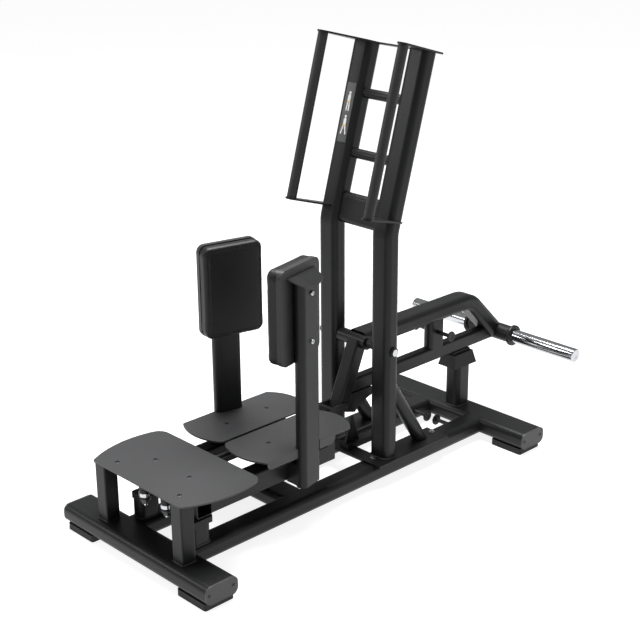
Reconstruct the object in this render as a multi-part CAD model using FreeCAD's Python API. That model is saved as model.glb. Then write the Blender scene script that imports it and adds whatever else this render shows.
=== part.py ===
import FreeCAD, Part
import math
import os
from FreeCAD import Matrix, Placement, Vector

os.makedirs("parts", exist_ok=True)

# Plate-loaded standing abductor.  X is the width (right side +X), Y the length
# (the user steps on at -Y, the weight horns are at +Y), Z is up.  Origin: the
# floor point under the middle of the machine.

# ---- overall ----
bar_span = 712          # tip to tip of each crossbar, caps included
bar_y = (-820, 623)     # crossbar centres, front and rear
foot_h = 22             # rubber foot height
tube_h = 60             # height of crossbars and rails
bar_d = 120             # crossbar depth along Y
rail_x = 122            # rail and upright centre from the middle
rail_w = 80             # rail width
wall = 3                # wall of the big tubes
gap = 0.4               # free gap between faces that move past each other
run = 0.05              # radial running clearance of pins in bores
tube_r = 20             # corner radius of the flat-oval tubes
bar_top = foot_h + tube_h
mid_z = foot_h + tube_h / 2

# ---- step ----
leg_x = 187
leg_w = 50
plate_t = 5             # step and foot plate thickness
bearer_t = 14

# ---- swing arms ----
pivot_x = 53            # vertical pivot of each arm
pivot_y = -777
pin_r = 10
boss_r = 18
arm_top = 238           # top of the arm beams; the push rod, step and lever stack on it
beam_z = (arm_top - 72, arm_top)
boss_z = (beam_z[0] + 18, arm_top - 2)
rod_z = arm_top + 14
step_z = rod_z + 27     # top of the step plate
step_under = step_z - plate_t
beam_x = (85, 145)
beam_y = (-675, -156)
box_y = (-735, -675)
crank_r = 40            # pivot to crank pin
crank_pin_r = 6
foot_z = arm_top + 58   # top of the foot plates
arm_swing = 25          # degrees outwards

# ---- pad posts ----
post_x = 192
post_y = -322
post_toe = 13           # degrees the posts and pads toe in
post_t = 40
post_w = 98
post_z = (beam_z[0] - 5, 855)
board_t = 18
pad_t = 38
pad_w = 212
pad_z = (576, 887)

# ---- uprights ----
up_y = 98
bend_z = 879
lean = 16               # degrees
lean_len = 586
handle_x = 175
handle_n = -154         # handle axis ahead of the upright axis
handle_r = 16.5
grip_wall = 3           # wall of the handles and rungs

# ---- lever ----
axle_z = 476
axle_r = 12
beam_zc = 480
beam_end_z = rod_z + 45.5
horn_y = 813
horn_z = 323
horn_r = 25
horn_tip = 384
link_pin_z = rod_z + 16


# ---- helpers ----
def write(name, *pieces):
    solids = []
    for piece in pieces:
        solids.extend(piece.Solids)
    shape = solids[0] if len(solids) == 1 else Part.makeCompound(solids)
    shape.exportStep("parts/" + name + ".step")


def box(x0, x1, y0, y1, z0, z1):
    return Part.makeBox(x1 - x0, y1 - y0, z1 - z0, Vector(x0, y0, z0))


def rod(r, start, end):
    a = Vector(*start)
    b = Vector(*end)
    return Part.makeCylinder(r, (b - a).Length, a, b - a)


def ring(r_out, r_in, start, end):
    return rod(r_out, start, end).cut(rod(r_in, start, end))


def oval(a, b, r, length):
    """Rounded rectangle a by b about the Z axis, length tall."""
    slab = box(-a / 2, a / 2, -b / 2, b / 2, 0, length)
    return slab.makeFillet(r, [e for e in slab.Edges if abs(e.tangentAt(0).z) > 0.9])


def tube(a, b, r, t, length):
    """Hollow rounded-rectangle tube, open at both ends."""
    inner = oval(a - 2 * t, b - 2 * t, max(r - t, 0.5), length)
    return oval(a, b, r, length).cut(inner)


def place(shape, origin, up, along):
    """Moves local Y onto up and local Z onto along, at origin."""
    u = Vector(*up)
    v = Vector(*along)
    s = u.cross(v)
    o = Vector(*origin)
    turn = Matrix(s.x, u.x, v.x, o.x, s.y, u.y, v.y, o.y, s.z, u.z, v.z, o.z, 0, 0, 0, 1)
    out = shape.copy()
    out.Placement = Placement(turn).multiply(shape.Placement)
    return out


def mirror(shape):
    return shape.mirror(Vector(0, 0, 0), Vector(1, 0, 0))


def both(shape):
    return [shape, mirror(shape)]


def outline(z, height, *edges):
    """Prism between closed edges given as lines (2 points) and arcs (3 points)."""
    made = []
    for points in edges:
        corners = [Vector(p[0], p[1], z) for p in points]
        if len(corners) == 2:
            made.append(Part.makeLine(corners[0], corners[1]))
        else:
            made.append(Part.Arc(corners[0], corners[1], corners[2]).toShape())
    return Part.Face(Part.Wire(made)).extrude(Vector(0, 0, height))


def round_upright(shape, r, near, reach=30):
    """Rounds the vertical edges standing within reach of the points near."""
    picked = []
    for edge in shape.Edges:
        upright = abs(edge.tangentAt(edge.FirstParameter).z) > 0.9
        p = edge.CenterOfMass
        close = [q for q in near if math.hypot(p.x - q[0], p.y - q[1]) < reach]
        if upright and close:
            picked.append(edge)
    return shape.makeFillet(r, picked)


def cut_all(shape, tools):
    for tool in tools:
        shape = shape.cut(tool)
    return shape


# ---- base frame ----
# Crossbars: flat-oval steel tubes on rubber feet, closed by screwed end caps.
cap_t = 6
bar_len = bar_span - 2 * cap_t
bar_r = 22
bar_solid = []
bars = []
caps = []
cap_screws = []
for y in bar_y:
    at = ((-bar_len / 2, y, mid_z), (0, 0, 1), (1, 0, 0))
    bar_solid.append(place(oval(bar_d, tube_h, bar_r, bar_len), *at))
    bars.append(place(tube(bar_d, tube_h, bar_r, wall, bar_len), *at))
    for side in (-1, 1):
        face = side * bar_len / 2
        cap = place(oval(bar_d, tube_h, bar_r, cap_t), (face, y, mid_z), (0, 0, 1), (side, 0, 0))
        for dy in (-45, 45):
            hole = rod(3.5, (face, y + dy, mid_z), (face + side * cap_t, y + dy, mid_z))
            cap = cap.cut(hole)
            head = rod(6, (face + side * cap_t, y + dy, mid_z), (face + side * (cap_t + 2.5), y + dy, mid_z))
            shank = rod(3, (face, y + dy, mid_z), (face + side * cap_t, y + dy, mid_z))
            cap_screws.append(head.fuse(shank))
        caps.append(cap)
write("front_crossbar", bars[0])
write("rear_crossbar", bars[1])
write("crossbar_end_caps", *caps)
write("end_cap_screws", *cap_screws)

# Rubber feet: one block under each crossbar end.
feet = []
for y in bar_y:
    foot = place(oval(131, 110, 8, foot_h), (278, y, 0), (0, 1, 0), (0, 0, 1))
    feet.extend(both(foot))
write("rubber_feet", *feet)

# Rails: two flat-oval tubes welded between the crossbars, ends coped to fit them.
rail_len = bar_y[1] - bar_y[0]
rail_at = ((rail_x, bar_y[0], mid_z), (0, 0, 1), (0, 1, 0))
rail = cut_all(place(tube(rail_w, tube_h, tube_r, wall, rail_len), *rail_at), bar_solid)
rail_full = place(oval(rail_w, tube_h, tube_r, rail_len), *rail_at)
write("rails", *both(rail))

# Cross tube: ties the two rails under the foot plates.
tie = place(tube(100, tube_h, tube_r, wall, 2 * rail_x), (-rail_x, -305, mid_z), (0, 0, 1), (1, 0, 0))
write("rail_cross_tube", cut_all(tie, both(rail_full)))

# ---- step ----
# Legs: square tubes from the front crossbar up to the step plate.
leg = tube(leg_w, leg_w, 5, wall, step_under - bar_top)
leg = place(leg, (leg_x, bar_y[0] - 2, bar_top), (0, 1, 0), (0, 0, 1))
write("step_legs", *both(leg))

# Step plate: flat steel plate with bowed sides, held by four flush screws.
step_front = -850
step_rear = -560
step = outline(
    step_under,
    plate_t,
    ((-215, step_front), (215, step_front)),
    ((215, step_front), (260, -712), (240, step_rear)),
    ((240, step_rear), (-240, step_rear)),
    ((-240, step_rear), (-260, -712), (-215, step_front)),
)
step = round_upright(step, 42, ((240, step_rear), (-240, step_rear)))
step = round_upright(step, 14, ((215, step_front), (-215, step_front)))
head_r = 7.5
head_t = 3
shank_r = 4
step_spots = ((-153, -803), (153, -803), (-83, -709), (83, -709))
screws = []
for x, y in step_spots:
    step = step.cut(rod(head_r + 0.3, (x, y, step_z - head_t), (x, y, step_z)))
    step = step.cut(rod(shank_r + 0.5, (x, y, step_under), (x, y, step_z)))
    head = rod(head_r, (x, y, step_z - head_t), (x, y, step_z - 0.3))
    screws.append(head.fuse(rod(shank_r, (x, y, step_under - bearer_t), (x, y, step_z - head_t))))
write("step_plate", step)
write("step_screws", *screws)

# Bearers: L-shaped plates under the step, welded to the legs, that hold the pivot pins.
bearer_z = step_under - bearer_t
bearer = box(pivot_x - 15, leg_x - leg_w / 2, -820, -752, bearer_z, step_under)
bearer = bearer.fuse(box(60, 106, -752, -690, bearer_z, step_under)).removeSplitter()
bearer = bearer.cut(rod(pin_r, (pivot_x, pivot_y, bearer_z), (pivot_x, pivot_y, step_under)))
for x, y in step_spots:
    if x > 0:
        bearer = bearer.cut(rod(shank_r + 0.5, (x, y, bearer_z), (x, y, step_under)))
write("step_bearers", *both(bearer))

# Stub posts on the rails, each with a slide pad under an arm box.
slide_z = (beam_z[0] - 22, beam_z[0] - 3)
stub = tube(54, 77, tube_r, wall, slide_z[0] - bar_top)
stub = place(stub, (rail_x + 2, -723.5, bar_top), (0, 1, 0), (0, 0, 1))
write("stub_posts", *both(stub))
slide = oval(56, 86, 10, slide_z[1] - slide_z[0])
slide = place(slide, (rail_x + 1, -719, slide_z[0]), (0, 1, 0), (0, 0, 1))
write("slide_pads", *both(slide))

# ---- arm pivots ----
# Pivot pins hang from the bearers, each with a flange, a nut and a threaded end below the boss.
thread_r = 6
nut_top = boss_z[0] - 6
nut_low = nut_top - 11
pin = rod(pin_r, (pivot_x, pivot_y, nut_top), (pivot_x, pivot_y, step_under))
pin = pin.fuse(rod(thread_r, (pivot_x, pivot_y, nut_low - 7), (pivot_x, pivot_y, nut_top)))
write("pivot_pins", *both(pin))
flange = ring(17, pin_r, (pivot_x, pivot_y, nut_top), (pivot_x, pivot_y, boss_z[0] - gap))
nut = ring(13, thread_r, (pivot_x, pivot_y, nut_low), (pivot_x, pivot_y, nut_top))
for turn in range(6):
    flat = box(11, 20, -20, 20, nut_low - 1, nut_top + 2)
    flat.rotate(Vector(0, 0, 0), Vector(0, 0, 1), 60 * turn)
    flat.translate(Vector(pivot_x, pivot_y, 0))
    nut = nut.cut(flat)
write("pivot_nuts", *both(flange.fuse(nut)))

# ---- base plate and uprights ----
# Base plate: U-shaped steel plate on the rails that carries the uprights and braces.
plate_h = 8
base_top = bar_top + plate_h
base_out = rail_x + 60
base = box(-base_out, base_out, 17, 75, bar_top, base_top)
for side in (-1, 1):
    x0, x1 = sorted((side * (rail_x - rail_w / 2), side * base_out))
    base = base.fuse(box(x0, x1, 17, 365, bar_top, base_top))
base = base.removeSplitter()
base_bolts = []
for x, y in ((rail_x - 6, 53), (6 - rail_x, 53), (rail_x - 4, 350), (4 - rail_x, 350)):
    base = base.cut(rod(5.5, (x, y, bar_top), (x, y, base_top)))
    head = rod(9, (x, y, base_top), (x, y, base_top + 6))
    base_bolts.append(head.fuse(rod(5, (x, y, bar_top), (x, y, base_top))))
write("base_plate", base)
write("base_bolts", *base_bolts)

# Uprights: flat-oval tubes that stand on the base plate and lean back above a bend.
tilt = math.radians(lean)
lean_dir = (0, math.sin(tilt), math.cos(tilt))
lean_back = (0, math.cos(tilt), -math.sin(tilt))


def on_lean(x, back, along):
    """Point on the leaning part: back is square to it, along runs up it from the bend."""
    y = up_y + along * lean_dir[1] + back * lean_back[1]
    z = bend_z + along * lean_dir[2] + back * lean_back[2]
    return (x, y, z)


def bent(size, t, bend_r, start, corner, end):
    """Tube with two straight legs and a round bend of centreline radius bend_r."""
    points = [Vector(*start), Vector(*corner), Vector(*end)]
    way = [(points[k + 1] - points[k]).normalize() for k in range(2)]
    angle = way[0].getAngle(way[1])
    back_off = bend_r * math.tan(angle / 2)
    joins = [points[1] - way[0] * back_off, points[1] + way[1] * back_off]
    axis = way[0].cross(way[1]).normalize()
    centre = joins[0] + axis.cross(way[0]) * bend_r
    solids = []
    for inset in (0, t) if t else (0,):
        section = (size[0] - 2 * inset, size[1] - 2 * inset, size[2] - inset)
        pieces = []
        for origin, along, length in (
            (points[0], way[0], (joins[0] - points[0]).Length),
            (joins[1], way[1], (points[2] - joins[1]).Length),
        ):
            up = along.cross(Vector(1, 0, 0))
            pieces.append(place(oval(*section, length), tuple(origin), tuple(up), tuple(along)))
        slice_up = way[0].cross(Vector(1, 0, 0))
        slice_solid = place(oval(*section, 1), tuple(joins[0]), tuple(slice_up), tuple(way[0]))
        foot_face = [f for f in slice_solid.Faces if (f.CenterOfMass - joins[0]).Length < 0.01][0]
        elbow = foot_face.revolve(centre, axis, math.degrees(angle))
        solids.append(pieces[0].fuse(elbow).fuse(pieces[1]).removeSplitter())
    return solids[0].cut(solids[1]) if t else solids[0]


up_size = (rail_w, tube_h, tube_r)
up_path = ((rail_x, up_y, base_top), (rail_x, up_y, bend_z), on_lean(rail_x, 0, lean_len))
upright_full = bent(up_size, 0, 90, *up_path)
upright = bent(up_size, wall, 90, *up_path)
upright = upright.cut(rod(axle_r, (0, up_y, axle_z), (300, up_y, axle_z)))
write("right_upright", upright)
write("left_upright", mirror(upright))

# Braces: round tubes from the back of each upright down to the base plate.
brace_r = 24
brace_ends = ((rail_x, up_y + 10, 362), (rail_x, 301, base_top - 30))
brace = ring(brace_r, brace_r - wall, *brace_ends)
brace = cut_all(brace, (upright_full, box(0, 300, 0, 500, 0, base_top)))
brace = max(brace.Solids, key=lambda s: s.Volume)
write("upright_braces", *both(brace))

# Cross-member: deep oval tube between the uprights just above the bend.
member = tube(40, 102, 18, wall, 2 * rail_x)
member = place(member, on_lean(-rail_x, 6, 46), lean_dir, (-1, 0, 0))
member.translate(Vector(2 * rail_x, 0, 0))
write("bend_crossmember", cut_all(member, both(upright_full)))

# Rungs: two round tubes between the leaning parts.
rungs = []
for along in (226, 423):
    rung = ring(handle_r, handle_r - grip_wall, on_lean(-rail_x, 0, along), on_lean(rail_x, 0, along))
    rungs.append(cut_all(rung, both(upright_full)))
write("rungs", *rungs)

# Handles: straight round tubes outboard and ahead of the uprights, held by flat
# plates square to the lean.
hold_t = 6
low_s = 39
handle_ends = (on_lean(handle_x, handle_n, low_s + hold_t), on_lean(handle_x, handle_n, lean_len))
write("handles", *both(ring(handle_r, handle_r - grip_wall, *handle_ends)))


def lean_frame(shape, along):
    """Carries a shape drawn flat, as (X, back), onto the lean at the height along."""
    shape.rotate(Vector(0, 0, 0), Vector(1, 0, 0), -lean)
    shape.translate(Vector(*on_lean(0, 0, along)))
    return shape


def hold_plate(along, rear, inner):
    """Flat plate square to the lean, from the end of a handle back to an upright."""
    side = handle_r + 3
    nose = handle_n - 6
    flat = outline(
        0,
        hold_t,
        ((handle_x - side, nose), (handle_x, nose - 14), (handle_x + side, nose)),
        ((handle_x + side, nose), (plate_out, rear)),
        ((plate_out, rear), (inner, rear)),
        ((inner, rear), (inner, -36)),
        ((inner, -36), (handle_x - side, nose)),
    )
    return lean_frame(flat, along)


plate_out = rail_x + 44
tie_x = rail_x - 40
top_plate = hold_plate(lean_len, 48, tie_x)
top_tie = lean_frame(box(-tie_x, tie_x, 12, 48, 0, hold_t), lean_len)
top_plate = top_plate.fuse(top_tie).fuse(mirror(top_plate)).removeSplitter()
low_plate = hold_plate(low_s, 20, rail_x - 10).cut(upright_full)
low_plate = max(low_plate.Solids, key=lambda s: s.Volume)
write("handle_plates", top_plate, *both(low_plate))

# Placard: blank strip on the front of the left upright.
placard = lean_frame(box(-rail_x - 20, -rail_x + 20, -tube_h / 2 - 1.5, -tube_h / 2, 0, 196), 252)
write("placard", placard)

# ---- axle ----
# Shaft through both uprights, collars outside them and a spacer beside the lever.
outer_x = rail_x + rail_w / 2
inner_x = rail_x - rail_w / 2
axle_end = outer_x + 10
sleeve_x = (-80, 46)
sleeve_r = axle_r + 12
write("axle", rod(axle_r, (-axle_end, up_y, axle_z), (axle_end, up_y, axle_z)))
collar = ring(axle_r + 5, axle_r, (outer_x, up_y, axle_z), (outer_x + 7, up_y, axle_z))
spacer = ring(axle_r + 3, axle_r, (sleeve_x[1] + 1, up_y, axle_z), (inner_x, up_y, axle_z))
write("axle_collars", *both(collar), spacer)

# ---- rear rest ----
# Post on the rear crossbar under a flared cap with a rubber pad that the lever lands on.
rest_z = beam_end_z - 27.5
hood_z = (rest_z - 29, rest_z + 18)
post_size = (64, 76, tube_r)
post_at = ((0, bar_y[1], bar_top), (0, 1, 0), (0, 0, 1))
write("rear_post", place(tube(*post_size, wall, rest_z - bar_top), *post_at))


def rest_ring(half_x, half_y, z):
    signs = ((-1, -1), (1, -1), (1, 1), (-1, 1), (-1, -1))
    corners = [Vector(sx * half_x, bar_y[1] - 5 + sy * half_y, z) for sx, sy in signs]
    return Part.makePolygon(corners)


hood = Part.makeLoft([rest_ring(42, 59, hood_z[0]), rest_ring(30, 50, hood_z[1])], True)
write("lever_rest_cap", hood.cut(place(oval(*post_size, rest_z - bar_top), *post_at)))
write("lever_rest_pad", box(-22, 22, bar_y[1] - 49, bar_y[1] + 39, hood_z[1], beam_end_z - gap))

# Band pegs on the inner faces of the rails.
peg = rod(7, (inner_x, 484, 62), (25, 484, 62)).fuse(rod(20, (25, 484, 62), (19, 484, 62)))
write("rail_band_pegs", *both(peg))

# Centre stop: a short flat bar on the base plate's front strip with an upright gusset.
stop_z = base_top + 20
stop = box(-20, 20, 30, 165, base_top, stop_z)
rise = rod_z - 47 - stop_z
gusset_edges = (
    ((36, 0), (100, 0)),
    ((100, 0), (70, rise)),
    ((70, rise), (62, rise)),
    ((62, rise), (36, 0)),
)
gusset = outline(-4, 8, *gusset_edges)
gusset = place(gusset, (0, 0, stop_z), (0, 0, 1), (1, 0, 0))
write("centre_stop", stop, gusset)

# ---- lever ----
# Sleeve: bored boss that turns on the axle.
sleeve_full = rod(sleeve_r, (sleeve_x[0], up_y, axle_z), (sleeve_x[1], up_y, axle_z))
write("lever_sleeve", sleeve_full.cut(rod(axle_r + run, (-200, up_y, axle_z), (200, up_y, axle_z))))

# Upper beam: flat-oval tube, level from the sleeve, then down at 45 degrees.
turn_y = 654
drop = beam_zc - 240
beam_path = ((0, up_y, beam_zc), (0, turn_y, beam_zc), (0, turn_y + drop, beam_zc - drop))
below = box(-400, 400, 0, 1200, 0, beam_end_z)
upper_full = bent(up_size, 0, 90, *beam_path).cut(below)
upper = bent(up_size, wall, 90, *beam_path).cut(below).cut(sleeve_full)
upper = max(upper.Solids, key=lambda s: s.Volume)
write("upper_beam", upper)

# Down-link: square tube hanging from the sleeve, leaning forward; the rod pins to its foot.
hang = math.radians(22.5)
hang_dir = (0, -math.sin(hang), -math.cos(hang))
link_foot = (0, 0, rod_z - 0.5)
link_len = (axle_z - link_foot[2]) / math.cos(hang) + 2
link_top = tuple(Vector(*link_foot) - Vector(*hang_dir) * link_len)
link_at = (link_top, tuple(Vector(*hang_dir).cross(Vector(1, 0, 0))), hang_dir)
link_full = place(oval(50, 50, 6, link_len), *link_at)
link = place(tube(50, 50, 6, wall, link_len), *link_at)
pin_y = link_foot[1] + (link_pin_z - link_foot[2]) * math.tan(hang)
pin_hole = rod(8, (-100, pin_y, link_pin_z), (100, pin_y, link_pin_z))
link = cut_all(link, (sleeve_full, upper_full, pin_hole))
link = max(link.Solids, key=lambda s: s.Volume)
write("down_link", link)

# Lower beam: rectangular tube from the down-link to the bent end of the upper beam.
lower_h = 50.5
lower_at = ((0, 0, beam_end_z + lower_h / 2), (0, 0, 1), (0, 1, 0))
lower = place(tube(40, lower_h, 8, wall, 800), *lower_at)
lower_full = place(oval(40, lower_h, 8, 800), *lower_at)
lower = cut_all(lower, (link_full, upper_full))
lower = max(lower.Solids, key=lambda s: s.Volume)
write("lower_beam", lower)

# Knee: curved stiffener behind the foot of the down-link, rising to the lower beam.
knee = outline(
    -24,
    48,
    ((15, rod_z - 10), (20, rod_z + 48)),
    ((20, rod_z + 48), (141, rod_z + 48)),
    ((141, rod_z + 48), (141, rod_z + 18)),
    ((141, rod_z + 18), (108, rod_z + 7.5), (58, rod_z - 23)),
    ((58, rod_z - 23), (15, rod_z - 10)),
)
knee = cut_all(place(knee, (0, 0, 0), (0, 0, 1), (1, 0, 0)), (link_full, lower_full))
knee = max(knee.Solids, key=lambda s: s.Volume)
write("link_knee", knee)

# Strut between the beams, with a band peg through it.
strut_y = 483
strut_len = beam_zc - beam_end_z - 32.5
strut_at = ((0, strut_y, beam_end_z + 32.5), (0, 1, 0), (0, 0, 1))
strut = place(tube(40, 80, 18, wall, strut_len), *strut_at)
strut_full = place(oval(40, 80, 18, strut_len), *strut_at)
write("beam_strut", max(cut_all(strut, (lower_full, upper_full)).Solids, key=lambda s: s.Volume))
band_z = beam_zc - 76
band = rod(7, (0, strut_y, band_z), (85, strut_y, band_z))
band = band.fuse(rod(19, (79, strut_y, band_z), (85, strut_y, band_z)))
band = band.cut(strut_full)
write("lever_band_pegs", *both(max(band.Solids, key=lambda s: s.Volume)))

# Horns: black hub tubes on the bent end, stop collars and bare steel bars.
hub_x = 95
collar_x = 107
hub = rod(31, (0, horn_y, horn_z), (hub_x, horn_y, horn_z)).cut(upper_full)
hub = max(hub.Solids, key=lambda s: s.Volume)
write("horn_hubs", *both(hub))
stop_ring = rod(39, (hub_x, horn_y, horn_z), (collar_x, horn_y, horn_z))
write("horn_collars", *both(stop_ring))
horn = rod(horn_r, (collar_x, horn_y, horn_z), (horn_tip, horn_y, horn_z))
tip = [e for e in horn.Edges if abs(e.CenterOfMass.x - horn_tip) < 0.1 and e.Closed]
write("weight_horns", *both(horn.makeChamfer(2, tip)))

# ---- push rod ----
# Round rod along the middle: a fork on the down-link's pin at the rear, a slotted
# crosshead for the two crank pins at the front.
fork_in = 25 + gap
fork_out = fork_in + 8
pin_end = fork_out + 4
write("rod_pin", rod(8, (-pin_end, pin_y, link_pin_z), (pin_end, pin_y, link_pin_z)))
fork_y = (pin_y - 75, pin_y)
fork = box(-fork_out, fork_out, fork_y[0], fork_y[0] + 16, rod_z - 10, link_pin_z + 13)
for side in (-1, 1):
    x0, x1 = sorted((side * fork_in, side * fork_out))
    cheek = box(x0, x1, fork_y[0], fork_y[1], link_pin_z - 13, link_pin_z + 13)
    fork = fork.fuse(cheek).fuse(rod(13, (x0, pin_y, link_pin_z), (x1, pin_y, link_pin_z)))
fork = fork.cut(rod(8 + run, (-100, pin_y, link_pin_z), (100, pin_y, link_pin_z)))
head_z = (rod_z - 4.5, rod_z + 6.5)
crosshead = box(-34, 34, pivot_y - 20, pivot_y + 20, *head_z)
slot_half = crank_pin_r + 0.8
slide_in = crank_r * (1 - math.cos(math.radians(arm_swing)))
slot_in = pivot_x - crank_r
for side in (-1, 1):
    x0, x1 = sorted((side * (slot_in - 1), side * (slot_in + slide_in + 1)))
    slot = box(x0, x1, pivot_y - slot_half, pivot_y + slot_half, *head_z)
    for x in (x0, x1):
        slot = slot.fuse(rod(slot_half, (x, pivot_y, head_z[0]), (x, pivot_y, head_z[1])))
    crosshead = crosshead.cut(slot)
shaft = rod(9, (0, pivot_y + 20, rod_z + 1), (0, fork_y[0], rod_z + 1))
write("push_rod", crosshead.fuse(shaft).fuse(fork).removeSplitter())

# ---- swing arms (right one drawn, left one mirrored) ----
parts = {}
# Beam along the machine and the open-ended box across its front.
beam_mid = (sum(beam_x) / 2, 0, sum(beam_z) / 2)
beam_size = (beam_x[1] - beam_x[0], beam_z[1] - beam_z[0], 8)
arm = tube(*beam_size, wall, beam_y[1] - beam_y[0])
arm = place(arm, (beam_mid[0], beam_y[0], beam_mid[2]), (0, 0, 1), (0, 1, 0))
box_in = 16
cross = tube(box_y[1] - box_y[0], beam_size[1], 8, wall + 1, beam_x[1] - box_in)
cross = place(cross, (box_in, sum(box_y) / 2, beam_mid[2]), (0, 0, 1), (1, 0, 0))
parts["arm_beam"] = Part.makeCompound([arm, cross])
# Boss on the pivot pin, webbed to the box, with the crank lug and its pin on top.
boss = rod(boss_r, (pivot_x, pivot_y, boss_z[0]), (pivot_x, pivot_y, boss_z[1]))
boss = boss.fuse(box(pivot_x - 13, pivot_x + 13, pivot_y, box_y[0], boss_z[0] + 4, boss_z[1] - 4))
lug_z = (boss_z[1] - 4, boss_z[1] + 10)
crank_x = pivot_x - crank_r
lug = box(crank_x, pivot_x, pivot_y - 10, pivot_y + 10, *lug_z)
lug = lug.fuse(rod(10, (crank_x, pivot_y, lug_z[0]), (crank_x, pivot_y, lug_z[1])))
lug = lug.fuse(rod(boss_r - 2, (pivot_x, pivot_y, lug_z[0]), (pivot_x, pivot_y, lug_z[1])))
crank_pin = rod(crank_pin_r, (crank_x, pivot_y, lug_z[0]), (crank_x, pivot_y, head_z[1]))
boss = boss.fuse(lug).fuse(crank_pin)
boss = boss.cut(rod(pin_r + run, (pivot_x, pivot_y, 100), (pivot_x, pivot_y, 300)))
parts["arm_boss"] = boss.removeSplitter()

# Pad post: flat-oval tube beside the beam, toed in, with a sloping cap plate.
toe = math.radians(post_toe)
toe_side = (math.cos(toe), math.sin(toe), 0)
toe_along = (-math.sin(toe), math.cos(toe), 0)


def on_post(out, along, z):
    x = post_x + out * toe_side[0] + along * toe_along[0]
    return (x, post_y + out * toe_side[1] + along * toe_along[1], z)


def toed(shape):
    return place(shape, (post_x, post_y, 0), toe_along, (0, 0, 1))


post_full = toed(oval(post_t, post_w, 19, post_z[1]))
cap_slope = 26
cap_knife = box(-80, 200, -200, 200, 0, 400)
cap_knife.rotate(Vector(0, 0, 0), Vector(0, 1, 0), cap_slope)
cap_knife.translate(Vector(-post_t / 2, 0, post_z[1]))
post = tube(post_t, post_w, 19, wall, post_z[1]).cut(box(-99, 99, -99, 99, 0, post_z[0])).cut(cap_knife)
post = toed(post)
cap_plate = outline(
    0,
    4,
    ((0, -74), (0, 74)),
    ((0, 74), (52, 56)),
    ((52, 56), (64, 0), (52, -56)),
    ((52, -56), (0, -74)),
)
cap_plate = round_upright(cap_plate, 8, ((52, 56), (52, -56)))
cap_plate.rotate(Vector(0, 0, 0), Vector(0, 1, 0), cap_slope)
cap_plate.translate(Vector(-post_t / 2, 0, post_z[1]))
cap_plate = toed(cap_plate)
bolt_z = (644, 800)
for z in bolt_z:
    post = post.cut(rod(4.5, on_post(-60, 0, z), on_post(60, 0, z)))
parts["pad_post"] = Part.makeCompound([post, cap_plate])

# Board and pad, facing inwards.
pad_half = pad_w / 2
pad_rise = pad_z[1] - pad_z[0]
pad_mid = sum(pad_z) / 2
board_face = -post_t / 2
board = oval(pad_w - 4, pad_rise - 4, 26, board_t)
board = place(board, on_post(board_face, 0, pad_mid), (0, 0, 1), tuple(-Vector(*toe_side)))
for z in bolt_z:
    board = board.cut(rod(4.5, on_post(board_face - board_t + 4, 0, z), on_post(board_face, 0, z)))
parts["pad_board"] = board
pad = oval(pad_w, pad_rise, 28, pad_t)
face = [e for e in pad.Edges if abs(e.CenterOfMass.z - pad_t) < 0.01]
pad = pad.makeFillet(11, face)
parts["pad"] = place(pad, on_post(board_face - board_t, 0, pad_mid), (0, 0, 1), tuple(-Vector(*toe_side)))

# Foot plate with bowed ends and a turned-down outer side, notched round the post.
foot_in = 6
foot_out = 202
foot_y = (-505, -143)
foot_under = foot_z - plate_t
foot = outline(
    foot_under,
    plate_t,
    ((foot_in, foot_y[0]), (112, foot_y[0] - 30), (foot_out, foot_y[0])),
    ((foot_out, foot_y[0]), (foot_out, foot_y[1])),
    ((foot_out, foot_y[1]), (110, foot_y[1] + 42), (foot_in, foot_y[1])),
    ((foot_in, foot_y[1]), (foot_in, foot_y[0])),
)
foot = round_upright(foot, 24, ((foot_in, foot_y[0]), (foot_in, foot_y[1])))
foot = round_upright(foot, 10, ((foot_out, foot_y[0]), (foot_out, foot_y[1])))
skirt = place(oval(290, 50, 20, 3), (foot_out - 3, -355, foot_under), (0, 0, 1), (1, 0, 0))
skirt = skirt.cut(box(0, 400, -900, 200, foot_under, 400))
foot = foot.fuse(skirt)
notch = toed(oval(post_t + 3, post_w + 3, 20, 400))
foot = foot.cut(notch).removeSplitter()
fixings = []
foot_spots = ((101, -405), (101, -232))
for x, y in foot_spots:
    foot = foot.cut(rod(head_r + 0.3, (x, y, foot_z - head_t), (x, y, foot_z)))
    foot = foot.cut(rod(shank_r + 0.5, (x, y, foot_under), (x, y, foot_z)))
    head = rod(head_r, (x, y, foot_z - head_t), (x, y, foot_z - 0.3))
    fixings.append(head.fuse(rod(shank_r, (x, y, foot_under - 12), (x, y, foot_z - head_t))))
for z in bolt_z:
    head = rod(8, on_post(post_t / 2, 0, z), on_post(post_t / 2 + 6, 0, z))
    fixings.append(head.fuse(rod(4, on_post(board_face - board_t + 6, 0, z), on_post(post_t / 2, 0, z))))
parts["foot_plate"] = foot
parts["arm_fixings"] = Part.makeCompound(fixings)

# Brackets: two risers under the foot plate and two webs from the beam to the post.
brackets = []
for x, y in foot_spots:
    riser = tube(44, foot_under - beam_z[1], 4, wall, 128)
    riser = place(riser, (42, y, (foot_under + beam_z[1]) / 2), (0, 0, 1), (1, 0, 0))
    riser = riser.cut(rod(shank_r + 0.5, (x, y, foot_under - 20), (x, y, foot_under)))
    brackets.append(riser.cut(notch))
for y in (-362, -290):
    web = box(beam_x[1], 206, y - 8, y + 8, beam_z[0], beam_z[1])
    web = web.cut(post_full)
    brackets.append(min(web.Solids, key=lambda s: s.CenterOfMass.x))
parts["arm_brackets"] = Part.makeCompound(brackets)

for name, shape in parts.items():
    write("right_" + name, shape)
    write("left_" + name, mirror(shape))
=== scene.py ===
from math import cos, hypot, pi, radians, sin

import bpy
from mathutils import Matrix, Vector


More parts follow.
